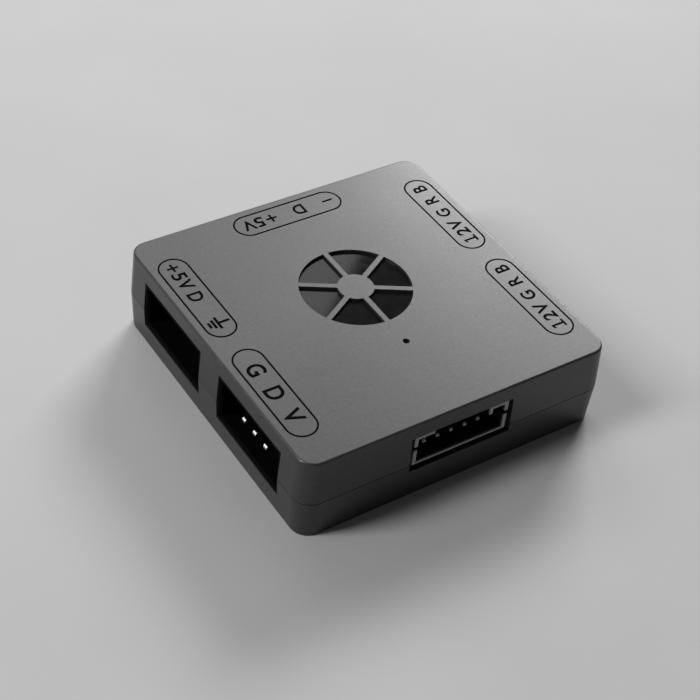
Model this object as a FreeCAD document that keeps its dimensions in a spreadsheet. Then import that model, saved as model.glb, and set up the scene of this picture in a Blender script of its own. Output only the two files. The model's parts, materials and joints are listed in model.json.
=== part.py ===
"""A square lighting hub: a two-part moulded case with header sockets on its four sides,
a round lit window in the roof, and the circuit board that the case holds.

The origin is the centre of the base. +Z is up, -Y is the side with the six-pin control
socket, -X the side with the two digital-light sockets, +X the side with the two 12 V sockets.
"""

import FreeCAD, Part
import math
import os

import Sketcher

# Driving dimensions, in millimetres and degrees. Each becomes one named cell of the sheet.
DIMENSIONS = {
    # Case
    "case_width": 45.2,
    "case_height": 12.2,
    "parting_height": 5.8,
    "corner_radius": 2.6,
    "upper_draft": 3.1,
    "lower_draft": 2.6,
    "side_wall": 1.4,
    "roof_thickness": 1.2,
    "floor_thickness": 1.5,
    "top_edge_radius": 0.3,
    "base_edge_bevel": 0.12,
    "seam_gap": 0.1,
    "seam_depth": 0.35,
    "lip_thickness": 0.6,
    "lip_height": 0.7,
    "lip_clearance": 0.1,
    # Screws and the bosses that they draw together
    "screw_inset": 3.6,
    "screw_diameter": 1.6,
    "screw_clearance": 0.15,
    "screw_head_diameter": 2.7,
    "screw_head_height": 1.0,
    "screw_head_sink": 0.6,
    "screw_head_clearance": 0.2,
    "screw_bite": 4.0,
    "screw_slot_length": 1.7,
    "screw_slot_width": 0.4,
    "screw_slot_depth": 0.5,
    "thread_clearance": 0.02,
    "pilot_spare": 0.5,
    "boss_wall": 0.8,
    "post_wall": 0.4,
    # Lit window in the roof
    "window_offset": 2.1,
    "window_radius": 7.4,
    "window_hub_radius": 2.4,
    "window_bar": 0.7,
    "window_skin": 0.4,
    "lens_rim": 0.8,
    "lens_thickness": 1.2,
    "lens_clearance": 0.1,
    # Pinhole of the status light
    "pinhole_offset": 9.5,
    "pinhole_diameter": 0.9,
    "light_tube_wall": 0.6,
    "light_tube_gap": 0.6,
    # Circuit board
    "board_top": 5.27,
    "board_thickness": 1.6,
    "board_clearance": 0.5,
    "board_corner_radius": 1.0,
    "notch_clearance": 0.1,
    "solder_fit": 0.03,
    "solder_tail": 1.1,
    # Sockets on the sides and the back
    "socket_boss_gap": 0.255,
    "socket_width": 14.5,
    "socket_height": 6.95,
    "socket_axis_height": 6.56,
    "socket_wall": 0.55,
    "socket_depth": 7.6,
    "socket_back": 1.6,
    "socket_recess": 0.22,
    "socket_lead_in": 0.25,
    "socket_ear_width": 0.25,
    "socket_ear_length": 3.2,
    "socket_ear_height": 0.8,
    "opening_clearance": 0.1,
    "pin_pitch": 2.54,
    "pin_width": 0.64,
    "pin_drop": 0.4,
    "pin_fit": 0.02,
    "pin_tip_chamfer": 0.18,
    "pin_bend_mitre": 0.3,
    "pin_bend_setback": 1.5,
    "shallow_pin_recess": 0.88,
    "deep_pin_recess": 4.5,
    # Six-pin control socket at the front
    "control_width": 13.9,
    "control_height": 4.58,
    "control_wall": 0.5,
    "control_roof": 0.38,
    "control_floor": 0.31,
    "control_depth": 6.0,
    "control_back": 1.6,
    "control_recess": 0.35,
    "control_opening_beside": 0.55,
    "control_opening_above": 0.2,
    "control_opening_below": 0.67,
    "control_notch_width": 8.2,
    "control_leg_drop": 0.7,
    "control_leg_width": 0.45,
    "control_slot_width": 0.65,
    "control_slot_drop": 1.55,
    "control_slot_depth": 3.0,
    "control_pin_pitch": 2.0,
    "control_pin_width": 0.5,
    "control_pin_height": 2.55,
    "control_pin_recess": 0.7,
    # Parts on the board, kept clear of the pins by part_gap
    "part_gap": 0.6,
    "chip_length": 6.5,
    "chip_width": 4.4,
    "chip_height": 1.0,
    "chip_leg_pitch": 0.65,
    "chip_leg_width": 0.25,
    "chip_leg_reach": 1.0,
    "chip_leg_thickness": 0.15,
    "chip_leg_foot": 0.5,
    "transistor_length": 2.9,
    "transistor_width": 1.3,
    "transistor_height": 1.0,
    "transistor_leg_width": 0.4,
    "transistor_leg_pitch": 0.95,
    "transistor_leg_reach": 0.55,
    "transistor_spacing": 4.4,
    "regulator_length": 4.5,
    "regulator_width": 2.5,
    "regulator_height": 1.5,
    "regulator_leg_pitch": 1.5,
    "capacitor_length": 2.0,
    "capacitor_width": 1.25,
    "capacitor_height": 0.9,
    "capacitor_spacing": 3.4,
    "resistor_length": 1.6,
    "resistor_width": 0.8,
    "resistor_height": 0.45,
    "resistor_spacing": 2.0,
    "terminal_length": 0.35,
    "terminal_skin": 0.05,
    "light_length": 3.5,
    "light_width": 2.8,
    "light_height": 1.9,
    "light_circle": 4.6,
    "light_well_length": 2.3,
    "light_well_width": 1.7,
    "light_well_depth": 0.6,
    "status_light_length": 2.0,
    "status_light_width": 1.25,
    "status_light_height": 0.8,
}

# Counts and placings that the object's layout fixes. A dash in a row is a place with no pin.
WINDOW_PANES = 6
CHIP_LEGS_PER_SIDE = 10
CONTROL_PINS = 6
OUTPUT_ROW = "|||"
INPUT_ROW = "||-|"
LINK_ROW = "|-||"
LIGHT_ROW = "||||"
TRANSISTORS = 3
CAPACITORS = 4
RESISTORS = 6
RIGHT, BACK, LEFT, FRONT = range(4)
TURN_COSINE = (1, 0, -1, 0)
TURN_SINE = (0, 1, 0, -1)
START, END, CENTRE = range(1, 4)
SKETCH_ORIGIN = (-1, START)


class Size:
    """A length or an angle: its present number, and the sheet expression that gives it."""

    def __init__(self, number, text):
        self.number = number
        self.text = text

    @staticmethod
    def of(value):
        if isinstance(value, Size):
            return value
        return Size(float(value), f"({float(value)!r})")

    def joined(self, sign, other, number):
        return Size(number, f"({self.text} {sign} {other.text})")

    def __add__(self, other):
        other = Size.of(other)
        return self.joined("+", other, self.number + other.number)

    def __sub__(self, other):
        other = Size.of(other)
        return self.joined("-", other, self.number - other.number)

    def __rsub__(self, other):
        return Size.of(other) - self

    def __mul__(self, other):
        other = Size.of(other)
        return self.joined("*", other, self.number * other.number)

    def __truediv__(self, other):
        other = Size.of(other)
        return self.joined("/", other, self.number / other.number)

    def __neg__(self):
        return Size(-self.number, f"(-1 * {self.text})")

    def root(self):
        return Size(math.sqrt(self.number), f"sqrt({self.text})")

    __radd__ = __add__
    __rmul__ = __mul__


class Sizes:
    """The driving dimensions by name, for use in arithmetic."""

    def __init__(self, dimensions):
        for name, number in dimensions.items():
            setattr(self, name, Size(number, f"Sizes.{name}"))


def fill_sheet(document):
    """Put every driving dimension in a cell of its own, under its name."""
    cells = document.addObject("Spreadsheet::Sheet", "Sizes")
    for row, (name, number) in enumerate(DIMENSIONS.items(), start=1):
        cells.set(f"A{row}", name)
        cells.set(f"B{row}", str(number))
        cells.setAlias(f"B{row}", name)
    document.recompute()


def bind(target, path, size):
    """Drive one property of a document object from the sheet."""
    target.setExpression(path, Size.of(size).text)


def new_body(label):
    """An empty body that may hold several solids, listed for export under its label."""
    body = doc.addObject("PartDesign::Body", "Body")
    body.Label = label
    body.AllowCompound = True
    sub_parts.append(body)
    return body


def origin_feature(body, role):
    """One of the body's own origin planes or axes."""
    return next(item for item in body.Origin.OriginFeatures if item.Role == role)


def sketch_on(body, plane, lift=0, across=0, along=0):
    """A sketch on an origin plane, lifted off it and shifted in it."""
    sketch = body.newObject("Sketcher::SketchObject", "Sketch")
    sketch.AttachmentSupport = [(origin_feature(body, plane), "")]
    sketch.MapMode = "FlatFace"
    for axis, shift in (("x", across), ("y", along), ("z", lift)):
        bind(sketch, f"AttachmentOffset.Base.{axis}", shift)
    return sketch


def drive(sketch, size, kind, *places):
    """Add a dimension to a sketch and drive it from the sheet."""
    size = Size.of(size)
    index = sketch.addConstraint(Sketcher.Constraint(kind, *places, size.number))
    bind(sketch, f"Constraints[{index}]", size)


def drive_point(sketch, geometry, point, x, y):
    """Hold a point of a sketch at driven distances from the sketch's origin."""
    drive(sketch, x, "DistanceX", *SKETCH_ORIGIN, geometry, point)
    drive(sketch, y, "DistanceY", *SKETCH_ORIGIN, geometry, point)


def arc_between(start, end, radius, anticlockwise):
    """The shorter arc of a given radius from one point to another, with its end numbers."""
    chord = end - start
    reach = math.sqrt(max(radius ** 2 - (chord.Length / 2) ** 2, 0))
    side = FreeCAD.Vector(-chord.y, chord.x, 0).normalize()
    centre = start + chord / 2 + side * (reach if anticlockwise else -reach)
    first, last = (start, end) if anticlockwise else (end, start)
    angles = [math.atan2(point.y - centre.y, point.x - centre.x) for point in (first, last)]
    circle = Part.Circle(centre, FreeCAD.Vector(0, 0, 1), radius)
    ends = (START, END) if anticlockwise else (END, START)
    return Part.ArcOfCircle(circle, *angles), ends


def outline(sketch, corners):
    """A closed outline through driven corners (x, y) or (x, y, radius).

    A corner with a radius starts an arc to the next corner: anticlockwise when the radius
    is positive, clockwise when it is negative. The others start straight lines.
    """
    points = [FreeCAD.Vector(Size.of(c[0]).number, Size.of(c[1]).number, 0) for c in corners]
    pieces = []
    for index, corner in enumerate(corners):
        start = points[index]
        end = points[(index + 1) % len(points)]
        if len(corner) == 2:
            geometry, ends = Part.LineSegment(start, end), (START, END)
        else:
            bulge = corner[2].number
            geometry, ends = arc_between(start, end, abs(bulge), bulge > 0)
        pieces.append((sketch.addGeometry(geometry), *ends))
    for index, corner in enumerate(corners):
        piece, start, end = pieces[index]
        after, after_start, _ = pieces[(index + 1) % len(pieces)]
        sketch.addConstraint(Sketcher.Constraint("Coincident", piece, end, after, after_start))
        drive_point(sketch, piece, start, corner[0], corner[1])
        if len(corner) == 3:
            drive(sketch, corner[2] if corner[2].number > 0 else -corner[2], "Radius", piece)


def rectangle(sketch, left, right, bottom, top):
    outline(sketch, [(left, bottom), (right, bottom), (right, top), (left, top)])


def centred_rectangle(sketch, x, y, width, height):
    rectangle(sketch, x - width / 2, x + width / 2, y - height / 2, y + height / 2)


def rounded_square(sketch, width, radius):
    """A square about the sketch's origin with rounded corners."""
    edge = width / 2
    flat = edge - radius
    outline(sketch, [
        (-flat, -edge), (flat, -edge, radius),
        (edge, -flat), (edge, flat, radius),
        (flat, edge), (-flat, edge, radius),
        (-edge, flat), (-edge, -flat, radius),
    ])


def circle(sketch, x, y, radius):
    """A driven circle about (x, y)."""
    radius = Size.of(radius)
    centre = FreeCAD.Vector(Size.of(x).number, Size.of(y).number, 0)
    index = sketch.addGeometry(Part.Circle(centre, FreeCAD.Vector(0, 0, 1), radius.number))
    drive_point(sketch, index, CENTRE, x, y)
    drive(sketch, radius, "Radius", index)


def extrude(body, kind, sketch, length, up, draft=None):
    """Pad or Pocket a sketch by a driven length, along its normal when up is true.

    A draft narrows the shape by that angle as it goes.
    """
    feature = body.newObject(f"PartDesign::{kind}", kind)
    feature.Profile = sketch
    feature.Reversed = up == (kind == "Pocket")
    bind(feature, "Length", length)
    if draft is not None:
        bind(feature, "TaperAngle", -draft)
    doc.recompute()
    return feature


def pad(body, sketch, length, up=True, draft=None):
    return extrude(body, "Pad", sketch, length, up, draft)


def pocket(body, sketch, length, up=True, draft=None):
    return extrude(body, "Pocket", sketch, length, up, draft)


def pad_across(body, sketch, width):
    """Pad a sketch by half a width to each side of its plane."""
    feature = pad(body, sketch, width)
    feature.SideType = "Symmetric"
    doc.recompute()
    return feature


def dress(body, kind, base, elements, size):
    """Fillet or Chamfer the named faces or edges of the last feature."""
    feature = body.newObject(f"PartDesign::{kind}", kind)
    feature.Base = (base, elements)
    bind(feature, "Radius" if kind == "Fillet" else "Size", size)
    doc.recompute()
    return feature


def end_face(feature, top):
    """The name of a feature's highest or lowest face."""
    heights = [face.CenterOfMass.z for face in feature.Shape.Faces]
    index = heights.index(max(heights) if top else min(heights))
    return [f"Face{index + 1}"]


def polar_pattern(body, originals, axis, count):
    """Repeat features evenly round an axis."""
    pattern = body.newObject("PartDesign::PolarPattern", "PolarPattern")
    pattern.Originals = originals
    pattern.Axis = axis
    pattern.Angle = 360
    pattern.Occurrences = count
    body.Tip = pattern
    doc.recompute()
    return pattern


def opening_in_side(sketch, middle, clearance):
    """The outline of a header socket with clearance round it, centred along a side."""
    width = sheet.socket_width + 2 * clearance
    height = sheet.socket_height + 2 * clearance
    centred_rectangle(sketch, middle, sheet.socket_axis_height, width, height)


def cut_openings(body):
    """Cut a cover's walls for the sockets: two to each side, one at the back, one in front."""
    sides = sketch_on(body, "YZ_Plane")
    for middle in (-socket_offset, socket_offset):
        opening_in_side(sides, middle, sheet.opening_clearance)
    both_walls = pocket(body, sides, 2 * sheet.case_width)
    both_walls.SideType = "Symmetric"
    back = sketch_on(body, "XZ_Plane")
    opening_in_side(back, Size.of(0), sheet.opening_clearance)
    pocket(body, back, sheet.case_width, up=False)
    front = sketch_on(body, "XZ_Plane")
    half_width = sheet.control_width / 2 + sheet.control_opening_beside
    sill = sheet.board_top - sheet.control_opening_below
    head = sheet.board_top + sheet.control_height + sheet.control_opening_above
    rectangle(front, -half_width, half_width, sill, head)
    pocket(body, front, sheet.case_width)


def corner_circles(sketch, radius):
    """Four circles at the screw places."""
    for x in (-screw_reach, screw_reach):
        for y in (-screw_reach, screw_reach):
            circle(sketch, x, y, radius)


def corner_posts(body, foot, radius, length):
    sketch = sketch_on(body, "XY_Plane", foot)
    corner_circles(sketch, radius)
    pad(body, sketch, length)


def corner_holes(body, foot, radius, length):
    sketch = sketch_on(body, "XY_Plane", foot)
    corner_circles(sketch, radius)
    pocket(body, sketch, length)


def make_shell(body, height, up, draft, edge_kind, edge_size, wall_over):
    """A drafted tray on the parting plane, with a softened far edge."""
    rim = sketch_on(body, "XY_Plane", sheet.parting_height)
    rounded_square(rim, sheet.case_width, sheet.corner_radius)
    block = pad(body, rim, height, up, draft)
    dress(body, edge_kind, block, end_face(block, up), edge_size)
    hollow = sketch_on(body, "XY_Plane", sheet.parting_height)
    rounded_square(hollow, inside_width, inside_radius)
    pocket(body, hollow, height - wall_over, up, draft)


def window_pane(sketch):
    """One pane of the round window: a ring sector with straight sides, pointing along +X."""
    half_angle = math.pi / WINDOW_PANES
    half_bar = sheet.window_bar / 2
    corners = {}
    for radius in (sheet.window_hub_radius, sheet.window_radius):
        reach = (radius * radius - half_bar * half_bar).root()
        x = reach * math.cos(half_angle) + half_bar * math.sin(half_angle)
        y = reach * math.sin(half_angle) - half_bar * math.cos(half_angle)
        corners[radius] = (x, y)
    (inner_x, inner_y), (outer_x, outer_y) = corners.values()
    outline(sketch, [
        (inner_x, -inner_y), (outer_x, -outer_y, sheet.window_radius),
        (outer_x, outer_y), (inner_x, inner_y, -sheet.window_hub_radius),
    ])


def make_top_cover():
    """The roof and upper walls, with the window, the light tube and the screw bosses."""
    body = new_body("top_cover")
    height = sheet.case_height - sheet.parting_height
    make_shell(body, height, True, sheet.upper_draft, "Fillet", sheet.top_edge_radius,
               sheet.roof_thickness)
    lip = sketch_on(body, "XY_Plane", sheet.parting_height)
    rounded_square(lip, inside_width, inside_radius)
    rounded_square(lip, inside_width + 2 * sheet.lip_thickness,
                   inside_radius + sheet.lip_thickness)
    pad(body, lip, sheet.lip_height, up=False)
    cut_openings(body)

    ceiling = sheet.case_height - sheet.roof_thickness
    lens_seat = sketch_on(body, "XY_Plane", ceiling, along=sheet.window_offset)
    circle(lens_seat, 0, 0, lens_radius + sheet.lens_clearance)
    pocket(body, lens_seat, sheet.roof_thickness - sheet.window_skin)
    pane = sketch_on(body, "XY_Plane", ceiling, along=sheet.window_offset)
    window_pane(pane)
    pane_cut = pocket(body, pane, 2 * sheet.roof_thickness)
    polar_pattern(body, [pane_cut], (pane, ["N_Axis"]), WINDOW_PANES)

    into_roof = sheet.case_height - sheet.roof_thickness / 2
    corner_posts(body, sheet.board_top, boss_radius, into_roof - sheet.board_top)
    corner_holes(body, sheet.board_top, pilot_radius, sheet.screw_bite + sheet.pilot_spare)

    tube_foot = sheet.board_top + sheet.status_light_height + sheet.light_tube_gap
    tube = sketch_on(body, "XY_Plane", tube_foot)
    circle(tube, 0, -sheet.pinhole_offset, sheet.pinhole_diameter / 2 + sheet.light_tube_wall)
    pad(body, tube, into_roof - tube_foot)
    pinhole = sketch_on(body, "XY_Plane", tube_foot)
    circle(pinhole, 0, -sheet.pinhole_offset, sheet.pinhole_diameter / 2)
    pocket(body, pinhole, sheet.case_height)


def make_bottom_cover():
    """The floor and lower walls, with a step round the seam and the posts that carry the board."""
    body = new_body("bottom_cover")
    make_shell(body, sheet.parting_height, False, sheet.lower_draft, "Chamfer",
               sheet.base_edge_bevel, sheet.floor_thickness)
    step = sketch_on(body, "XY_Plane", sheet.parting_height)
    for reach in (-sheet.seam_depth, sheet.seam_depth):
        rounded_square(step, sheet.case_width + 2 * reach, sheet.corner_radius + reach)
    pocket(body, step, sheet.seam_gap, up=False)
    rebate = sketch_on(body, "XY_Plane", sheet.parting_height)
    growth = sheet.lip_thickness + sheet.lip_clearance
    rounded_square(rebate, inside_width + 2 * growth, inside_radius + growth)
    pocket(body, rebate, sheet.lip_height + sheet.lip_clearance, up=False)
    cut_openings(body)

    into_floor = sheet.floor_thickness / 2
    recess_radius = sheet.screw_head_diameter / 2 + sheet.screw_head_clearance
    corner_posts(body, into_floor, recess_radius + sheet.post_wall, board_bottom - into_floor)
    corner_holes(body, 0, screw_hole_radius, sheet.case_height)
    corner_holes(body, 0, recess_radius, sheet.screw_head_sink + sheet.screw_head_height)


def make_lens():
    """The smoked disc that lies in the roof behind the window."""
    body = new_body("emblem_lens")
    face = sketch_on(body, "XY_Plane", sheet.case_height - sheet.window_skin, along=sheet.window_offset)
    circle(face, 0, 0, lens_radius)
    pad(body, face, sheet.lens_thickness, up=False)


def make_screws():
    """The four screws that draw the covers together through the board."""
    body = new_body("case_screws")
    shank_radius = sheet.screw_diameter / 2
    head_radius = sheet.screw_head_diameter / 2
    head_foot = sheet.screw_head_sink
    head_top = head_foot + sheet.screw_head_height
    tip = sheet.board_top + sheet.screw_bite
    profile = sketch_on(body, "XZ_Plane", -screw_reach, screw_reach)
    outline(profile, [
        (0, head_foot), (head_radius, head_foot), (head_radius, head_top),
        (shank_radius, head_top), (shank_radius, tip), (0, tip),
    ])
    turned = body.newObject("PartDesign::Revolution", "Revolution")
    turned.Profile = profile
    turned.ReferenceAxis = (profile, ["V_Axis"])
    turned.Angle = 360
    doc.recompute()
    recess = sketch_on(body, "XY_Plane", head_foot, screw_reach, screw_reach)
    half_slot = sheet.screw_slot_width / 2
    half_length = sheet.screw_slot_length / 2
    outline(recess, [
        (half_slot, half_slot), (half_length, half_slot),
        (half_length, -half_slot), (half_slot, -half_slot),
        (half_slot, -half_length), (-half_slot, -half_length),
        (-half_slot, -half_slot), (-half_length, -half_slot),
        (-half_length, half_slot), (-half_slot, half_slot),
        (-half_slot, half_length), (half_slot, half_length),
    ])
    cross = pocket(body, recess, sheet.screw_slot_depth)
    corners = len(TURN_COSINE)
    polar_pattern(body, [turned, cross], (origin_feature(body, "Z_Axis"), [""]), corners)


def place_at_side(body, side, shift):
    """Turn a body built facing +X to one side of the case and move it along that side."""
    quarter = FreeCAD.Rotation(FreeCAD.Vector(0, 0, 1), 90 * side)
    body.Placement = FreeCAD.Placement(FreeCAD.Vector(), quarter)
    bind(body, "Placement.Base.x", -TURN_SINE[side] * shift)
    bind(body, "Placement.Base.y", TURN_COSINE[side] * shift)


def turned_point(side, out, shift):
    """A point given by its distance out from the centre and along a side, in the case's frame."""
    x = TURN_COSINE[side] * out - TURN_SINE[side] * shift
    y = TURN_SINE[side] * out + TURN_COSINE[side] * shift
    return x, y


def row_places(count, pitch):
    """Distances of the places in a row from its middle."""
    return [pitch * (index - (count - 1) / 2) for index in range(count)]


def make_pins(label, side, shift, places, width, height, tip, heel):
    """Square pins that come in level from the mouth, bend down and pass through the board."""
    body = new_body(label)
    half = width / 2
    bevel = sheet.pin_tip_chamfer
    inner_bend = sheet.pin_bend_mitre
    outer_bend = inner_bend + width
    tail = board_bottom - sheet.solder_tail
    for place in places:
        profile = sketch_on(body, "XZ_Plane", -place)
        outline(profile, [
            (tip, height - half + bevel), (tip, height + half - bevel),
            (tip - bevel, height + half),
            (heel - half + outer_bend, height + half),
            (heel - half, height + half - outer_bend), (heel - half, tail),
            (heel + half, tail), (heel + half, height - half - inner_bend),
            (heel + half + inner_bend, height - half), (tip - bevel, height - half),
        ])
        pad_across(body, profile, width)
    place_at_side(body, side, shift)


def make_socket(label, side, shift, row, recess):
    """A shrouded header let into the edge of the board, and its pins."""
    pitches = row_places(len(row), sheet.pin_pitch)
    places = [place for place, mark in zip(pitches, row) if mark != "-"]
    body = new_body(f"{label}_socket")
    axis = sheet.socket_axis_height
    pin_height = axis - sheet.pin_drop
    width = sheet.socket_width
    height = sheet.socket_height
    walls = 2 * sheet.socket_wall
    shell = sketch_on(body, "YZ_Plane", mouth)
    centred_rectangle(shell, Size.of(0), axis, width, height)
    pad(body, shell, sheet.socket_depth + sheet.socket_back, up=False)
    cavity = sketch_on(body, "YZ_Plane", mouth)
    centred_rectangle(cavity, Size.of(0), axis, width - walls, height - walls)
    hollow = pocket(body, cavity, sheet.socket_depth, up=False)
    bevel_mouth(body, hollow)
    holes = sketch_on(body, "YZ_Plane", socket_heel)
    for place in places:
        fit = sheet.pin_width + 2 * sheet.pin_fit
        centred_rectangle(holes, place, pin_height, fit, fit)
    pocket(body, holes, sheet.socket_back)
    ears = sketch_on(body, "XY_Plane", sheet.board_top)
    inner = width / 2 - sheet.socket_wall / 2
    outer = width / 2 + sheet.socket_ear_width
    front_end = socket_heel + sheet.socket_ear_length
    rectangle(ears, socket_heel, front_end, inner, outer)
    rectangle(ears, socket_heel, front_end, -outer, -inner)
    pad(body, ears, sheet.socket_ear_height)
    place_at_side(body, side, shift)
    make_pins(f"{label}_pins", side, shift, places, sheet.pin_width, pin_height, mouth - recess, pin_row)
    for place in places:
        board_pins.append((side, pin_row, shift + place, sheet.pin_width))


def bevel_mouth(body, hollow):
    """Bevel the inner edge of a socket's mouth."""
    tolerance = sheet.socket_wall.number / 2
    half_width = sheet.socket_width.number / 2 - tolerance
    half_height = sheet.socket_height.number / 2 - tolerance
    names = []
    for index, edge in enumerate(hollow.Shape.Edges, start=1):
        box = edge.BoundBox
        at_mouth = box.XMin > mouth.number - tolerance
        inside_y = max(abs(box.YMin), abs(box.YMax)) < half_width
        inside_z = abs(edge.CenterOfMass.z - sheet.socket_axis_height.number) < half_height
        if at_mouth and inside_y and inside_z:
            names.append(f"Edge{index}")
    return dress(body, "Chamfer", hollow, names, sheet.socket_lead_in)


def make_control_socket():
    """The six-pin socket that stands on the front edge of the board, open along its top, with a
    leg at one end of the opening that lets the plug in only one way.
    """
    places = row_places(CONTROL_PINS, sheet.control_pin_pitch)
    body = new_body("control_socket")
    half_width = sheet.control_width / 2
    top = sheet.board_top + sheet.control_height
    ceiling = top - sheet.control_roof
    block = sketch_on(body, "YZ_Plane", control_heel)
    rectangle(block, -half_width, half_width, sheet.board_top, top)
    pad(body, block, sheet.control_depth + sheet.control_back)
    cavity = sketch_on(body, "YZ_Plane", control_mouth)
    clear = half_width - sheet.control_wall
    rectangle(cavity, -clear, clear, sheet.board_top + sheet.control_floor, ceiling)
    pocket(body, cavity, sheet.control_depth, up=False)
    half_notch = sheet.control_notch_width / 2
    leg = sketch_on(body, "YZ_Plane", control_mouth)
    leg_end = half_notch + sheet.control_leg_width
    rectangle(leg, half_notch, leg_end, ceiling - sheet.control_leg_drop, ceiling)
    pad(body, leg, sheet.control_depth, up=False)
    notch = sketch_on(body, "YZ_Plane", control_mouth)
    rectangle(notch, -half_notch, half_notch, ceiling, top)
    pocket(body, notch, sheet.control_depth, up=False)
    slots = sketch_on(body, "XZ_Plane")
    slot_end = control_mouth - sheet.control_slot_depth
    slot_top = top - sheet.control_slot_drop
    rectangle(slots, slot_end, control_mouth, slot_top - sheet.control_slot_width, slot_top)
    both_walls = pocket(body, slots, 2 * sheet.control_width)
    both_walls.SideType = "Symmetric"
    pin_height = sheet.board_top + sheet.control_pin_height
    holes = sketch_on(body, "YZ_Plane", control_heel)
    for place in places:
        fit = sheet.control_pin_width + 2 * sheet.pin_fit
        centred_rectangle(holes, place, pin_height, fit, fit)
    pocket(body, holes, sheet.control_back)
    place_at_side(body, FRONT, Size.of(0))
    make_pins("control_pins", FRONT, Size.of(0), places, sheet.control_pin_width, pin_height,
              control_mouth - sheet.control_pin_recess, control_pin_row)
    for place in places:
        board_pins.append((FRONT, control_pin_row, place, sheet.control_pin_width))


def make_board():
    """The circuit board, notched for the side sockets, with holes for the screws and close
    square cuts where solder holds the pins.
    """
    body = new_body("circuit_board")
    plate = sketch_on(body, "XY_Plane", board_bottom)
    rounded_square(plate, inside_width - 2 * sheet.board_clearance, sheet.board_corner_radius)
    pad(body, plate, sheet.board_thickness)
    notches = sketch_on(body, "XY_Plane", board_bottom)
    half_width = sheet.socket_width / 2 + sheet.notch_clearance
    inner = socket_heel - sheet.notch_clearance
    outer = sheet.case_width / 2
    for middle in (-socket_offset, socket_offset):
        rectangle(notches, inner, outer, middle - half_width, middle + half_width)
        rectangle(notches, -outer, -inner, middle - half_width, middle + half_width)
    rectangle(notches, -half_width, half_width, inner, outer)
    pocket(body, notches, sheet.board_thickness)
    corner_holes(body, board_bottom, screw_hole_radius, sheet.board_thickness)
    soldered = sketch_on(body, "XY_Plane", board_bottom)
    for side, out, shift, width in board_pins:
        x, y = turned_point(side, out, shift)
        fit = width + 2 * sheet.solder_fit
        centred_rectangle(soldered, x, y, fit, fit)
    pocket(body, soldered, sheet.board_thickness)


def make_blocks(label, places, length, width, height, foot):
    """Like rectangular parts standing at several places, each with its length along X."""
    body = new_body(label)
    plan = sketch_on(body, "XY_Plane", foot)
    for x, y in places:
        centred_rectangle(plan, x, y, length, width)
    pad(body, plan, height)
    return body


def make_capped_blocks(label, places, length, width, height):
    """Chip parts with a metal cap, a little proud, on each end."""
    foot = sheet.board_top
    skin = sheet.terminal_skin
    body = make_blocks(label, places, length, width - 2 * skin, height - skin, foot)
    caps = sketch_on(body, "XY_Plane", foot)
    reach = length / 2 - sheet.terminal_length / 2
    for x, y in places:
        for end in (x - reach, x + reach):
            centred_rectangle(caps, end, y, sheet.terminal_length, width)
    pad(body, caps, height)


def make_flat_legs(label, places, legs, leg_length, leg_width):
    """Flat legs under small packages: each leg is an offset from its package's centre."""
    body = new_body(label)
    plan = sketch_on(body, "XY_Plane", sheet.board_top)
    for x, y in places:
        for leg_x, leg_y in legs:
            centred_rectangle(plan, x + leg_x, y + leg_y, leg_width, leg_length)
    pad(body, plan, sheet.chip_leg_thickness)


def make_controller():
    """The controller chip with a row of bent legs along each long side."""
    thickness = sheet.chip_leg_thickness
    foot = sheet.board_top + thickness
    x = sheet.chip_width / 2 + sheet.chip_leg_reach - part_limit
    y = sheet.chip_length / 2 - front_limit
    make_blocks("controller_chip", [(x, y)], sheet.chip_width, sheet.chip_length,
                sheet.chip_height, foot)
    body = new_body("controller_chip_legs")
    first = row_places(CHIP_LEGS_PER_SIDE, sheet.chip_leg_pitch)[0]
    profile = sketch_on(body, "XZ_Plane", -first, along=sheet.board_top)
    root = sheet.chip_width / 2
    tip = root + sheet.chip_leg_reach
    bend = tip - sheet.chip_leg_foot
    shoulder = thickness + sheet.chip_height / 2
    for way in (1, -1):
        outline(profile, [
            (way * root, shoulder), (way * bend, shoulder), (way * bend, thickness),
            (way * tip, thickness), (way * tip, 0), (way * (bend - thickness), 0),
            (way * (bend - thickness), shoulder - thickness), (way * root, shoulder - thickness),
        ])
    pair = pad_across(body, profile, sheet.chip_leg_width)
    row = body.newObject("PartDesign::LinearPattern", "LinearPattern")
    row.Originals = [pair]
    row.Direction = (origin_feature(body, "Y_Axis"), [""])
    bind(row, "Length", sheet.chip_leg_pitch * (CHIP_LEGS_PER_SIDE - 1))
    row.Occurrences = CHIP_LEGS_PER_SIDE
    body.Tip = row
    bind(body, "Placement.Base.x", x)
    bind(body, "Placement.Base.y", y)
    doc.recompute()


def make_power_parts():
    """Three switching transistors beside the 12 V sockets, and the regulator."""
    foot = sheet.board_top + sheet.chip_leg_thickness
    column = part_limit - sheet.transistor_width / 2 - sheet.transistor_leg_reach
    spots = [(column, sheet.window_offset + place)
             for place in row_places(TRANSISTORS, sheet.transistor_spacing)]
    make_blocks("drive_transistors", spots, sheet.transistor_width, sheet.transistor_length,
                sheet.transistor_height, foot)
    reach = sheet.transistor_width / 2
    legs = [(-reach, -sheet.transistor_leg_pitch), (-reach, sheet.transistor_leg_pitch), (reach, 0)]
    make_flat_legs("transistor_legs", spots, legs, sheet.transistor_leg_width,
                   2 * sheet.transistor_leg_reach)
    depth = sheet.regulator_width / 2
    x = part_limit - sheet.regulator_length / 2
    y = depth + sheet.transistor_leg_reach - front_limit
    spot = [(x, y)]
    make_blocks("voltage_regulator", spot, sheet.regulator_length, sheet.regulator_width,
                sheet.regulator_height, foot)
    pitch = sheet.regulator_leg_pitch
    legs = [(-pitch, -depth), (0, -depth), (pitch, -depth), (0, depth)]
    make_flat_legs("regulator_legs", spot, legs, 2 * sheet.transistor_leg_reach,
                   sheet.transistor_leg_width)


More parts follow.
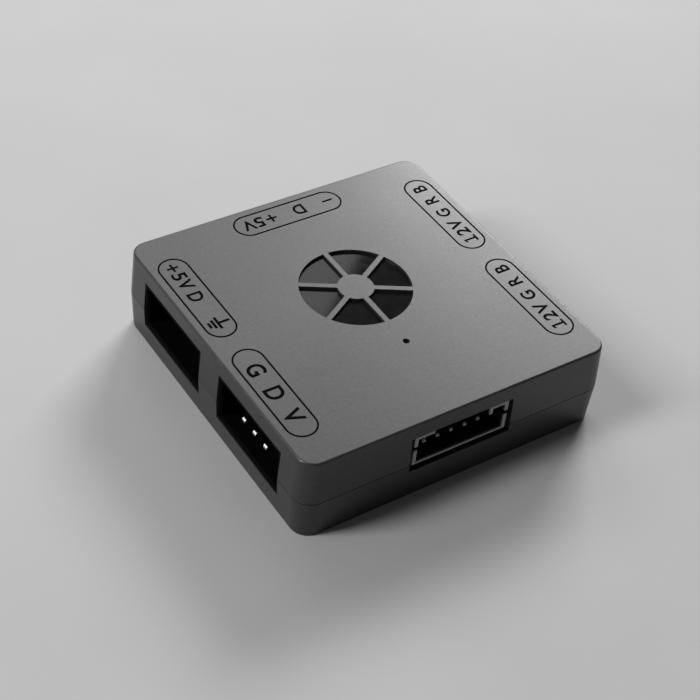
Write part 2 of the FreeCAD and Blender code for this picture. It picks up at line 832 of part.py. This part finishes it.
def make_chip_parts():
    """Capacitors in a row along the back pins, resistors in a column along the left ones."""
    y = part_limit - sheet.capacitor_width / 2
    row = [(place, y) for place in row_places(CAPACITORS, sheet.capacitor_spacing)]
    make_capped_blocks("filter_capacitors", row, sheet.capacitor_length, sheet.capacitor_width,
                       sheet.capacitor_height)
    x = sheet.resistor_length / 2 - part_limit
    column = [(x, sheet.window_offset + place)
              for place in row_places(RESISTORS, sheet.resistor_spacing)]
    make_capped_blocks("resistors", column, sheet.resistor_length, sheet.resistor_width,
                       sheet.resistor_height)


def make_lights():
    """Four lights under the window, each with a well in its top, and one under the pinhole."""
    out = sheet.light_circle * math.cos(math.pi / 4)
    spots = [(x, sheet.window_offset + y) for x in (-out, out) for y in (-out, out)]
    body = make_blocks("emblem_lights", spots, sheet.light_length, sheet.light_width,
                       sheet.light_height, sheet.board_top)
    wells = sketch_on(body, "XY_Plane", sheet.board_top + sheet.light_height)
    for x, y in spots:
        centred_rectangle(wells, x, y, sheet.light_well_length, sheet.light_well_width)
    pocket(body, wells, sheet.light_well_depth, up=False)
    make_capped_blocks("status_light", [(Size.of(0), -sheet.pinhole_offset)], sheet.status_light_length,
                       sheet.status_light_width, sheet.status_light_height)


def write_steps():
    """Check every document object and every sub-part, then write the sub-parts."""
    doc.recompute()
    for item in doc.Objects:
        if "Invalid" in item.State or "Error" in item.State:
            raise RuntimeError(f"{item.Label}: {item.State}")
    os.makedirs("parts", exist_ok=True)
    for body in sub_parts:
        shape = body.Shape
        if shape.isNull() or not shape.isValid():
            raise RuntimeError(f"{body.Label}: bad shape")
        shape.exportStep(f"parts/{body.Label}.step")


doc = FreeCAD.newDocument("lighting_hub")
fill_sheet(doc)
sheet = Sizes(DIMENSIONS)
sub_parts = []
board_pins = []

# Sizes that several sub-parts share.
inside_width = sheet.case_width - 2 * sheet.side_wall
inside_radius = sheet.corner_radius - sheet.side_wall
board_bottom = sheet.board_top - sheet.board_thickness
lens_radius = sheet.window_radius + sheet.lens_rim
pilot_radius = sheet.screw_diameter / 2 + sheet.thread_clearance
boss_radius = pilot_radius + sheet.boss_wall
screw_hole_radius = sheet.screw_diameter / 2 + sheet.screw_clearance
screw_reach = sheet.case_width / 2 - sheet.screw_inset
socket_end = screw_reach - boss_radius - sheet.socket_boss_gap - sheet.socket_ear_width
socket_offset = socket_end - sheet.socket_width / 2
mouth = sheet.case_width / 2 - sheet.socket_recess
socket_heel = mouth - sheet.socket_depth - sheet.socket_back
pin_row = socket_heel - sheet.pin_bend_setback
control_mouth = sheet.case_width / 2 - sheet.control_recess
control_heel = control_mouth - sheet.control_depth - sheet.control_back
control_pin_row = control_heel - sheet.pin_bend_setback
part_limit = pin_row - sheet.pin_width / 2 - sheet.part_gap
front_limit = control_pin_row - sheet.control_pin_width / 2 - sheet.part_gap

make_top_cover()
make_bottom_cover()
make_lens()
make_screws()
make_socket("argb_output", LEFT, socket_offset, OUTPUT_ROW, sheet.shallow_pin_recess)
make_socket("argb_input", LEFT, -socket_offset, INPUT_ROW, sheet.deep_pin_recess)
make_socket("argb_link", BACK, Size.of(0), LINK_ROW, sheet.deep_pin_recess)
make_socket("rgb_front", RIGHT, -socket_offset, LIGHT_ROW, sheet.deep_pin_recess)
make_socket("rgb_rear", RIGHT, socket_offset, LIGHT_ROW, sheet.deep_pin_recess)
make_control_socket()
make_board()
make_controller()
make_power_parts()
make_chip_parts()
make_lights()
write_steps()
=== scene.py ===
"""Looks of the lighting hub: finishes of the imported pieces, the printed marks on the roof,
the studio and the camera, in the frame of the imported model. Lengths are in metres, or in
millimetres where a comment says so.
"""

import json
import math

import bmesh
import bpy
from mathutils import Matrix, Vector


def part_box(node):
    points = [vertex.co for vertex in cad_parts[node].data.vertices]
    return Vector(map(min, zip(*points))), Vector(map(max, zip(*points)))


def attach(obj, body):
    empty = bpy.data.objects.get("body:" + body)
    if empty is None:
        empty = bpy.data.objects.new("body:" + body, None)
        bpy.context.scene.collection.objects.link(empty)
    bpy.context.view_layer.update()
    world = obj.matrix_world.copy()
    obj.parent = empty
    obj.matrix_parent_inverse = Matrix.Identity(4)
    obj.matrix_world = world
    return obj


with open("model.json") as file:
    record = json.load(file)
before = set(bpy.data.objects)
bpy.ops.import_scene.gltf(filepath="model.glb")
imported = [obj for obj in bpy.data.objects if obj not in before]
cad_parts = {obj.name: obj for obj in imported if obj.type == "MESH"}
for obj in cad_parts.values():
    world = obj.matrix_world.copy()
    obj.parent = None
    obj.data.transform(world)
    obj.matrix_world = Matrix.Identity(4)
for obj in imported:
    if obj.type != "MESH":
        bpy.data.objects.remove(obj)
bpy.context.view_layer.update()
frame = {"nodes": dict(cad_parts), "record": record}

MM = 0.001

# Directions in the frame.
UP = Vector((0, 0, 1))
TO_FRONT = Vector((0, -1, 0))
TO_BACK = Vector((0, 1, 0))
TO_LEFT = Vector((-1, 0, 0))

# Camera, solved from the straight edges of the case in the picture. Lens and sensor are in millimetres.
CAMERA_PLACE = Vector((-93.52, -122.31, 143.87)) * MM
CAMERA_RIGHT = Vector((0.8398, -0.5363, 0.0841))
CAMERA_UP = Vector((0.3130, 0.6050, 0.7322))
CAMERA_LENS = 81.88
CAMERA_SENSOR = 36.0
CAMERA_NEAR = 0.01
CAMERA_FAR = 20.0

# Studio. Lights face the middle of the base or a point under the roof. The panel hangs level over its
# foot, where the window mirrors it.
FLOOR_HALF_WIDTH = 3.0
ROOM_STRENGTH = 0.05
HUB_BASE = Vector((0, 0, 0))
UNDER_ROOF = Vector((0, 0, 0.01))
PANEL_FOOT = Vector((0.1525, 0.5378, 0))
PANEL_HEIGHT = 0.408
PANEL_ROLL = math.radians(39.5)

# Values of a noise between which ramps and spans run, since noise seldom goes past them.
NOISE_START = 0.3
NOISE_END = 0.7

# Depth behind the control socket's rim over which painted shade darkens its nylon, in millimetres.
NYLON_PAINTED_SHADE_START = 0.05
NYLON_PAINTED_SHADE_END = 0.35

# Ink above and below the roof, in millimetres.
INK_PROUD = 0.02
INK_SUNK = 0.005

# Pill round a legend, in millimetres, and the share of its line that lies outside its outline.
PILL_LENGTH = 16.2
PILL_WIDTH = 4.1
PILL_LINE = 0.232
PILL_LINE_OUTSIDE = 0.25
PILL_ARC_STEPS = 24

# Letters: heights and drop in millimetres, boldness and slimness as shares of the typeface's own size,
# and the weld as a share of the cap height.
CAP_HEIGHT = 2.0
LARGE_CAP_HEIGHT = 2.45
BASELINE_DROP = 0.08
LETTER_BOLDNESS = 0.019
LETTER_CURVE_STEPS = 6
LETTER_SLIMNESS = 0.9
LETTER_WELD = 0.001
WIDE_LETTERS = {"2": 1.05, "5": 1.12, "V": 0.97}

# Signs, in millimetres. The flag of the figure one reaches over a share of its half width.
BAR_WIDTH = 0.30
PLUS_ARM = 0.78
MINUS_ARM = 0.76
GROUND_STEM = 1.4
GROUND_GAP = 0.58
GROUND_LINE = 0.36
GROUND_BARS = (1.1, 0.78, 0.5)
ONE_HALF_WIDTH = 0.62
ONE_FLAG_DROP = 0.42
ONE_FLAG_REACH = 0.8

# Legends, in millimetres: the middles of their pills, and each mark's place along its pill.
LEGEND_SIDE = 19.04
LEGEND_BACK = 18.98
LEGEND_REAR_ROW = 9.47
LEGEND_FRONT_ROW = -9.66
LEFT_REAR_MARKS = (("plus", -6.3), ("5", -4.5), ("V", -2.73), ("D", -0.1), ("ground", 5.45))
LEFT_FRONT_MARKS = (("G", -4.25), ("D", 0.24), ("V", 4.48))
BACK_MARKS = (("minus", -6.22), ("D", -1.75), ("plus", 2.53), ("5", 4.36), ("V", 6.02))
RIGHT_MARKS = (("1", -6.1), ("2", -4.37), ("V", -2.62), ("G", 0.17), ("R", 3.23), ("B", 6.03))


class Finish:
    """A node material with one shader, and short ways to add textures to it."""

    def __init__(self, name):
        self.material = bpy.data.materials.new(name)
        self.material.use_nodes = True
        self.nodes = self.material.node_tree.nodes
        self.links = self.material.node_tree.links
        self.shader = self.nodes["Principled BSDF"]
        self.place = self.nodes.new("ShaderNodeTexCoord").outputs["Object"]

    def set(self, **values):
        """Set constant values of the shader, named with _ for a space."""
        for name, value in values.items():
            self.shader.inputs[name.replace("_", " ")].default_value = value

    def noise(self, grain, detail=3.0, roughness=0.55, stretch=None):
        """Noise with features about one grain, in metres, across."""
        texture = self.nodes.new("ShaderNodeTexNoise")
        texture.inputs["Scale"].default_value = 1.0 / grain
        texture.inputs["Detail"].default_value = detail
        texture.inputs["Roughness"].default_value = roughness
        if stretch is None:
            self.links.new(self.place, texture.inputs["Vector"])
        else:
            mapping = self.nodes.new("ShaderNodeMapping")
            mapping.inputs["Scale"].default_value = stretch
            self.links.new(self.place, mapping.inputs["Vector"])
            self.links.new(mapping.outputs["Vector"], texture.inputs["Vector"])
        return texture.outputs["Fac"]

    def ramp(self, factor, low, high, start=NOISE_START, end=NOISE_END):
        """A colour that goes from low to high as the factor goes from start to end."""
        node = self.nodes.new("ShaderNodeValToRGB")
        for stop, place, colour in zip(node.color_ramp.elements, (start, end), (low, high)):
            stop.position = place
            stop.color = (*colour, 1.0)
        self.links.new(factor, node.inputs["Fac"])
        return node.outputs["Color"]

    def span(self, factor, low, high, start=NOISE_START, end=NOISE_END):
        """A number that goes from low to high as the factor goes from start to end."""
        node = self.nodes.new("ShaderNodeMapRange")
        for name, value in (("From Min", start), ("From Max", end), ("To Min", low), ("To Max", high)):
            node.inputs[name].default_value = value
        self.links.new(factor, node.inputs["Value"])
        return node.outputs["Result"]

    def axis(self, name):
        """One coordinate of the place on the piece, in metres."""
        node = self.nodes.new("ShaderNodeSeparateXYZ")
        self.links.new(self.place, node.inputs["Vector"])
        return node.outputs[name]

    def multiply(self, first, second):
        """The product of two colours."""
        node = self.nodes.new("ShaderNodeMix")
        node.data_type = "RGBA"
        node.blend_type = "MULTIPLY"
        node.inputs["Factor"].default_value = 1.0
        self.links.new(first, node.inputs["A"])
        self.links.new(second, node.inputs["B"])
        return node.outputs["Result"]

    def colour(self, socket):
        """Take the surface's colour from a texture."""
        self.links.new(socket, self.shader.inputs["Base Color"])

    def roughness(self, socket):
        """Take the surface's roughness from a texture."""
        self.links.new(socket, self.shader.inputs["Roughness"])

    def bump(self, factor, height, strength):
        """Raise the surface by a height, in metres, where the factor is high."""
        node = self.nodes.new("ShaderNodeBump")
        node.inputs["Strength"].default_value = strength
        node.inputs["Distance"].default_value = height
        self.links.new(factor, node.inputs["Height"])
        self.links.new(node.outputs["Normal"], self.shader.inputs["Normal"])


def grey(level, warmth=0.0):
    """A linear grey, a little warm or cool."""
    return (level * (1 + warmth), level, level * (1 - warmth))


def case_finish():
    """Moulded shell with a fine metallic satin coat."""
    finish = Finish("case_satin")
    finish.set(Metallic=0.55, Specular_IOR_Level=0.02, Coat_Weight=0.2, Coat_Roughness=0.16)
    flakes = finish.noise(grain=0.3 * MM, detail=2.0, roughness=0.6)
    cloud = finish.noise(grain=9.0 * MM, detail=2.0)
    finish.colour(finish.ramp(flakes, low=grey(0.074), high=grey(0.088)))
    finish.roughness(finish.span(cloud, low=0.36, high=0.40))
    finish.bump(flakes, height=0.006 * MM, strength=0.2)
    return finish.material


def lens_finish():
    """Smoked gloss panel with faint rubbing."""
    finish = Finish("smoked_lens")
    finish.set(Specular_IOR_Level=0.2)
    rub = finish.noise(grain=1.2 * MM, detail=4.0)
    finish.colour(finish.ramp(rub, low=grey(0.009), high=grey(0.012)))
    finish.roughness(finish.span(rub, low=0.05, high=0.075))
    return finish.material


def socket_finish():
    """Black glass-filled plastic with a spark-eroded texture."""
    finish = Finish("socket_black")
    finish.set(Specular_IOR_Level=0.015)
    grain = finish.noise(grain=0.12 * MM)
    finish.colour(finish.ramp(grain, low=grey(0.0015), high=grey(0.004)))
    finish.roughness(finish.span(grain, low=0.45, high=0.6))
    finish.bump(grain, height=0.008 * MM, strength=0.4)
    return finish.material


def nylon_finish():
    """Pale nylon at the rim of the control socket, with painted shade darkening it into its mouth."""
    finish = Finish("control_nylon")
    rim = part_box("control_socket")[0][1]
    start = rim + NYLON_PAINTED_SHADE_START * MM
    end = rim + NYLON_PAINTED_SHADE_END * MM
    grain = finish.noise(grain=0.3 * MM)
    pale = finish.ramp(grain, low=grey(0.34, 0.02), high=grey(0.42, 0.02))
    # Painted shade: the colour darkens with depth behind the rim, standing in for the shadow inside the
    # mouth.
    depth = finish.span(finish.axis("Y"), low=0.0, high=1.0, start=start, end=end)
    painted_shade = finish.ramp(depth, low=grey(1.0), high=grey(0.03), start=0.0, end=1.0)
    finish.colour(finish.multiply(pale, painted_shade))
    finish.roughness(finish.span(grain, low=0.42, high=0.55))
    finish.bump(grain, height=0.005 * MM, strength=0.3)
    return finish.material


def tin_finish():
    """Bright tin plate with drawing lines."""
    finish = Finish("pin_tin")
    finish.set(Metallic=1.0)
    lines = finish.noise(grain=0.15 * MM, stretch=(1.0, 1.0, 3.0))
    finish.colour(finish.ramp(lines, low=grey(0.52, 0.03), high=grey(0.68, 0.03)))
    finish.roughness(finish.span(lines, low=0.14, high=0.22))
    return finish.material


def screw_finish():
    """Black zinc on steel, rubbed at random."""
    finish = Finish("screw_black")
    finish.set(Metallic=0.85)
    rub = finish.noise(grain=0.4 * MM)
    finish.colour(finish.ramp(rub, low=grey(0.02), high=grey(0.07)))
    finish.roughness(finish.span(rub, low=0.3, high=0.45))
    return finish.material


def board_finish():
    """Dark solder mask over copper, with the weave of the laminate in its gloss."""
    finish = Finish("board_mask")
    weave = finish.noise(grain=0.5 * MM, stretch=(1.0, 4.0, 1.0))
    finish.colour(finish.ramp(weave, low=(0.004, 0.012, 0.007), high=(0.010, 0.026, 0.015)))
    finish.roughness(finish.span(weave, low=0.22, high=0.36))
    finish.bump(weave, height=0.01 * MM, strength=0.3)
    return finish.material


def speckled_finish(name, colours, roughness, grain=0.1):
    """A plain moulded or fired material with a fine speckle: pairs go from low to high, and the
    grain is in millimetres.
    """
    finish = Finish(name)
    speckle = finish.noise(grain=grain * MM)
    finish.colour(finish.ramp(speckle, *colours))
    finish.roughness(finish.span(speckle, *roughness))
    finish.bump(speckle, height=0.004 * MM, strength=0.4)
    return finish.material


def ink_finish():
    """Dark printed ink, slightly uneven."""
    finish = Finish("mark_ink")
    finish.set(Specular_IOR_Level=0.02)
    mottle = finish.noise(grain=0.25 * MM)
    finish.colour(finish.ramp(mottle, low=grey(0.0004), high=grey(0.0014)))
    finish.roughness(finish.span(mottle, low=0.6, high=0.75))
    return finish.material


def finish_nodes():
    """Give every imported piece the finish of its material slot."""
    epoxy = (grey(0.012), grey(0.022))
    brown = ((0.26, 0.16, 0.08), (0.34, 0.22, 0.12))
    film = (grey(0.01), grey(0.02))
    white = (grey(0.7, 0.02), grey(0.8, 0.02))
    finishes = {
        "case_plastic": case_finish(),
        "smoked_plastic": lens_finish(),
        "socket_plastic": socket_finish(),
        "control_plastic": nylon_finish(),
        "pin_metal": tin_finish(),
        "screw_steel": screw_finish(),
        "board_laminate": board_finish(),
        "chip_epoxy": speckled_finish("chip_epoxy", epoxy, roughness=(0.5, 0.65), grain=0.08),
        "capacitor_ceramic": speckled_finish("capacitor_ceramic", brown, roughness=(0.35, 0.5)),
        "resistor_ceramic": speckled_finish("resistor_film", film, roughness=(0.2, 0.35)),
        "light_white": speckled_finish("light_moulding", white, roughness=(0.3, 0.4)),
    }
    slots = {row["node"]: row["material_slot"] for row in frame["record"]["subparts"]}
    for name, node in frame["nodes"].items():
        node.data.materials.clear()
        node.data.materials.append(finishes[slots[name]])


def add_loop(mesh, points, height):
    """The points of an outline at a height, as new vertices."""
    return [mesh.verts.new((x, y, height)) for x, y in points]


def bridge(mesh, lower, upper):
    """A band of faces between two loops of as many points."""
    for index in range(len(lower)):
        after = (index + 1) % len(lower)
        mesh.faces.new((lower[index], lower[after], upper[after], upper[index]))


def add_prism(mesh, points):
    """A closed flat prism over an outline, from just under the roof to just over it."""
    foot = add_loop(mesh, points, -INK_SUNK)
    head = add_loop(mesh, points, INK_PROUD)
    mesh.faces.new(reversed(foot))
    mesh.faces.new(head)
    bridge(mesh, foot, head)


def pill_points(growth):
    """The outline of a pill that lies along X with its middle at the origin, grown all round."""
    radius = PILL_WIDTH / 2 + growth
    reach = (PILL_LENGTH - PILL_WIDTH) / 2
    points = []
    for side, first in ((1, -math.pi / 2), (-1, math.pi / 2)):
        for step in range(PILL_ARC_STEPS + 1):
            angle = first + math.pi * step / PILL_ARC_STEPS
            points.append((side * reach + radius * math.cos(angle), radius * math.sin(angle)))
    return points


def add_pill(mesh):
    """The printed line round a legend, as a closed flat ring."""
    outer = pill_points(PILL_LINE * PILL_LINE_OUTSIDE)
    inner = pill_points(PILL_LINE * (PILL_LINE_OUTSIDE - 1))
    outer_foot = add_loop(mesh, outer, -INK_SUNK)
    outer_head = add_loop(mesh, outer, INK_PROUD)
    inner_foot = add_loop(mesh, inner, -INK_SUNK)
    inner_head = add_loop(mesh, inner, INK_PROUD)
    bridge(mesh, outer_foot, outer_head)
    bridge(mesh, outer_head, inner_head)
    bridge(mesh, inner_head, inner_foot)
    bridge(mesh, inner_foot, outer_foot)


def add_bar(mesh, x, y, half_x, half_y):
    """A rectangle with its middle at a point."""
    add_prism(mesh, [(x - half_x, y - half_y), (x + half_x, y - half_y),
                     (x + half_x, y + half_y), (x - half_x, y + half_y)])


def add_plus(mesh, x):
    """A plus sign as one outline of twelve corners."""
    arm = PLUS_ARM
    half = BAR_WIDTH / 2
    corners = [(half, half), (arm, half), (arm, -half), (half, -half), (half, -arm), (-half, -arm),
               (-half, -half), (-arm, -half), (-arm, half), (-half, half), (-half, arm), (half, arm)]
    add_prism(mesh, [(x + dx, dy - BASELINE_DROP) for dx, dy in reversed(corners)])


def add_minus(mesh, x):
    """A minus sign."""
    add_bar(mesh, x, -BASELINE_DROP, MINUS_ARM, BAR_WIDTH / 2)


def add_one(mesh, x):
    """A figure one with a flag and a foot."""
    top = CAP_HEIGHT / 2 - BASELINE_DROP
    foot = -CAP_HEIGHT / 2 - BASELINE_DROP
    foot_top = foot + BAR_WIDTH
    half = BAR_WIDTH / 2
    wide = ONE_HALF_WIDTH
    flag = top - ONE_FLAG_DROP
    flag_end = -wide * ONE_FLAG_REACH
    corners = [(-wide, foot), (wide, foot), (wide, foot_top), (half, foot_top), (half, top), (0, top),
               (flag_end, flag + BAR_WIDTH), (flag_end, flag), (-half, flag + half), (-half, foot_top),
               (-wide, foot_top)]
    add_prism(mesh, [(x + dx, dy) for dx, dy in corners])


def add_ground(mesh, x):
    """The earth sign: a stem over three bars that get shorter downwards."""
    half = GROUND_LINE / 2
    add_bar(mesh, x, GROUND_STEM / 2 + half, half, GROUND_STEM / 2)
    for index, arm in enumerate(GROUND_BARS):
        add_bar(mesh, x, -index * GROUND_GAP, arm, half)


def flat_letter(character):
    """A letter or figure of the built-in typeface, as a flat mesh."""
    curve = bpy.data.curves.new("letter", "FONT")
    curve.body = character
    curve.offset = LETTER_BOLDNESS
    curve.resolution_u = LETTER_CURVE_STEPS
    carrier = bpy.data.objects.new("letter", curve)
    bpy.context.scene.collection.objects.link(carrier)
    graph = bpy.context.evaluated_depsgraph_get()
    flat = bpy.data.meshes.new_from_object(carrier.evaluated_get(graph))
    bpy.data.objects.remove(carrier)
    bpy.data.curves.remove(curve)
    glyph = bmesh.new()
    glyph.from_mesh(flat)
    bpy.data.meshes.remove(flat)
    return glyph


def add_letter(mesh, character, x, cap_height):
    """A letter or figure as a closed flat solid, scaled to a cap height and centred on x."""
    glyph = flat_letter(character)
    low = Vector([min(vertex.co[axis] for vertex in glyph.verts) for axis in range(3)])
    high = Vector([max(vertex.co[axis] for vertex in glyph.verts) for axis in range(3)])
    scale = cap_height / (high.y - low.y)
    slimness = WIDE_LETTERS.get(character, LETTER_SLIMNESS)
    middle = (low + high) / 2
    for vertex in glyph.verts:
        vertex.co.x = x + (vertex.co.x - middle.x) * scale * slimness
        vertex.co.y = (vertex.co.y - middle.y) * scale - BASELINE_DROP
        vertex.co.z = INK_PROUD
    bmesh.ops.remove_doubles(glyph, verts=glyph.verts, dist=cap_height * LETTER_WELD)
    bmesh.ops.recalc_face_normals(glyph, faces=glyph.faces)
    sunk = bmesh.ops.extrude_face_region(glyph, geom=glyph.faces[:])
    for item in sunk["geom"]:
        if isinstance(item, bmesh.types.BMVert):
            item.co.z = -INK_SUNK
    bmesh.ops.recalc_face_normals(glyph, faces=glyph.faces)
    for face in glyph.faces:
        face.smooth = False
    solid = bpy.data.meshes.new("letter")
    glyph.to_mesh(solid)
    glyph.free()
    mesh.from_mesh(solid)
    bpy.data.meshes.remove(solid)


SIGNS = {"plus": add_plus, "minus": add_minus, "ground": add_ground, "1": add_one}


def make_legend(name, middle, along, marks, cap_height, ink):
    """One pill with its marks, printed on the roof along a reading direction."""
    mesh = bmesh.new()
    add_pill(mesh)
    for mark, x in marks:
        if mark in SIGNS:
            SIGNS[mark](mesh, x)
        else:
            add_letter(mesh, mark, x, cap_height)
    bmesh.ops.recalc_face_normals(mesh, faces=mesh.faces)
    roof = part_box("top_cover")[1][2]
    turn = Matrix((along, UP.cross(along), UP)).transposed().to_4x4()
    shift = Matrix.Translation((middle[0] * MM, middle[1] * MM, roof))
    mesh.transform(shift @ turn @ Matrix.Scale(MM, 4))
    data = bpy.data.meshes.new(name)
    mesh.to_mesh(data)
    mesh.free()
    data.materials.append(ink)
    piece = bpy.data.objects.new(name, data)
    bpy.context.scene.collection.objects.link(piece)
    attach(piece, "root")


def make_legends():
    """The five printed legends: each names what the pins below it carry."""
    ink = ink_finish()
    left_rear = (-LEGEND_SIDE, LEGEND_REAR_ROW)
    left_front = (-LEGEND_SIDE, LEGEND_FRONT_ROW)
    back = (0, LEGEND_BACK)
    right_rear = (LEGEND_SIDE, LEGEND_REAR_ROW)
    right_front = (LEGEND_SIDE, LEGEND_FRONT_ROW)
    make_legend("legend_left_rear", left_rear, TO_FRONT, LEFT_REAR_MARKS, CAP_HEIGHT, ink)
    make_legend("legend_left_front", left_front, TO_FRONT, LEFT_FRONT_MARKS, LARGE_CAP_HEIGHT, ink)
    make_legend("legend_back", back, TO_LEFT, BACK_MARKS, CAP_HEIGHT, ink)
    make_legend("legend_right_rear", right_rear, TO_BACK, RIGHT_MARKS, CAP_HEIGHT, ink)
    make_legend("legend_right_front", right_front, TO_BACK, RIGHT_MARKS, CAP_HEIGHT, ink)


def make_floor():
    """A wide pale floor that the hub lies on."""
    finish = Finish("pale_floor")
    finish.set(Specular_IOR_Level=0.2)
    mottle = finish.noise(grain=40 * MM)
    finish.colour(finish.ramp(mottle, low=grey(0.55), high=grey(0.59)))
    finish.roughness(finish.span(mottle, low=0.75, high=0.85))
    half = FLOOR_HALF_WIDTH
    corners = [(-half, -half, 0), (half, -half, 0), (half, half, 0), (-half, half, 0)]
    data = bpy.data.meshes.new("floor")
    data.from_pydata(corners, [], [(0, 1, 2, 3)])
    data.materials.append(finish.material)
    floor = bpy.data.objects.new("floor", data)
    bpy.context.scene.collection.objects.link(floor)


def make_light(name, place, aim, width, height, power, roll=0.0):
    """A soft rectangular light that faces a point, rolled about its line of sight."""
    data = bpy.data.lights.new(name, "AREA")
    data.shape = "RECTANGLE"
    data.size = width
    data.size_y = height
    data.energy = power
    light = bpy.data.objects.new(name, data)
    facing = (aim - Vector(place)).to_track_quat("-Z", "Y").to_matrix().to_4x4()
    light.matrix_world = Matrix.Translation(place) @ facing @ Matrix.Rotation(roll, 4, "Z")
    bpy.context.scene.collection.objects.link(light)


def make_studio():
    """Soft lights behind and beside the hub, a panel for the window to mirror, and a dim room."""
    panel = PANEL_FOOT + UP * PANEL_HEIGHT
    make_light("key", (0.66, 0.55, 0.46), HUB_BASE, width=0.36, height=0.26, power=7.3)
    make_light("left_key", (-0.58, 0.16, 0.60), HUB_BASE, width=0.2, height=0.42, power=3.7)
    make_light("window_panel", panel, PANEL_FOOT, width=0.45, height=0.4, power=1.5, roll=PANEL_ROLL)
    make_light("back_left", (-0.30, 0.85, 0.25), UNDER_ROOF, width=0.3, height=0.2, power=0.6)
    make_light("left_fill", (-0.52, 0.42, 0.30), UNDER_ROOF, width=0.3, height=0.2, power=0.3)
    world = bpy.data.worlds.new("studio")
    world.use_nodes = True
    background = world.node_tree.nodes["Background"]
    background.inputs["Color"].default_value = (1.0, 1.0, 1.0, 1.0)
    background.inputs["Strength"].default_value = ROOM_STRENGTH
    bpy.context.scene.world = world
    bpy.context.scene.view_settings.view_transform = "Standard"


def make_camera():
    """The camera of the picture, with a slight roll."""
    data = bpy.data.cameras.new("camera")
    data.sensor_width = CAMERA_SENSOR
    data.lens = CAMERA_LENS
    data.clip_start = CAMERA_NEAR
    data.clip_end = CAMERA_FAR
    camera = bpy.data.objects.new("camera", data)
    back = CAMERA_RIGHT.cross(CAMERA_UP)
    turn = Matrix((CAMERA_RIGHT, CAMERA_UP, back)).transposed().to_4x4()
    camera.matrix_world = Matrix.Translation(CAMERA_PLACE) @ turn
    bpy.context.scene.collection.objects.link(camera)
    bpy.context.scene.camera = camera


finish_nodes()
make_legends()
make_floor()
make_studio()
make_camera()
